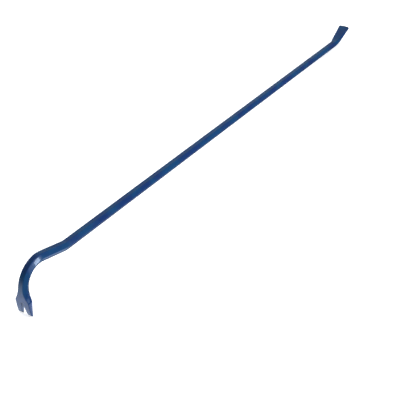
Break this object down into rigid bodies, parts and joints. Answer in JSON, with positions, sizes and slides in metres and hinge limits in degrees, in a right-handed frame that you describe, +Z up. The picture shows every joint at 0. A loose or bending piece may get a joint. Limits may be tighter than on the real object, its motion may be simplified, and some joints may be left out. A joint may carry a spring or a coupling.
{
  "type": "wrecking bar",
  "caption": "Long gooseneck wrecking bar in blue-painted hexagon steel, with a hooked nail claw at one end and an upturned flat chisel at the other.",
  "frame": {"origin": "centre of the bar's plan, on the surface that it stands on", "axes": "+X from the claw to the chisel, +Z up with the hook standing over its claw, +Y across the bar"},
  "size_m": [1.4998, 0.0332, 0.1074],
  "materials": {
    "blue_enamel": "gloss"
  },
  "bodies": {
    "root": {"claw": "blue_enamel", "gooseneck": "blue_enamel", "shank": "blue_enamel", "chisel_end": "blue_enamel"}
  },
  "joints": []
}
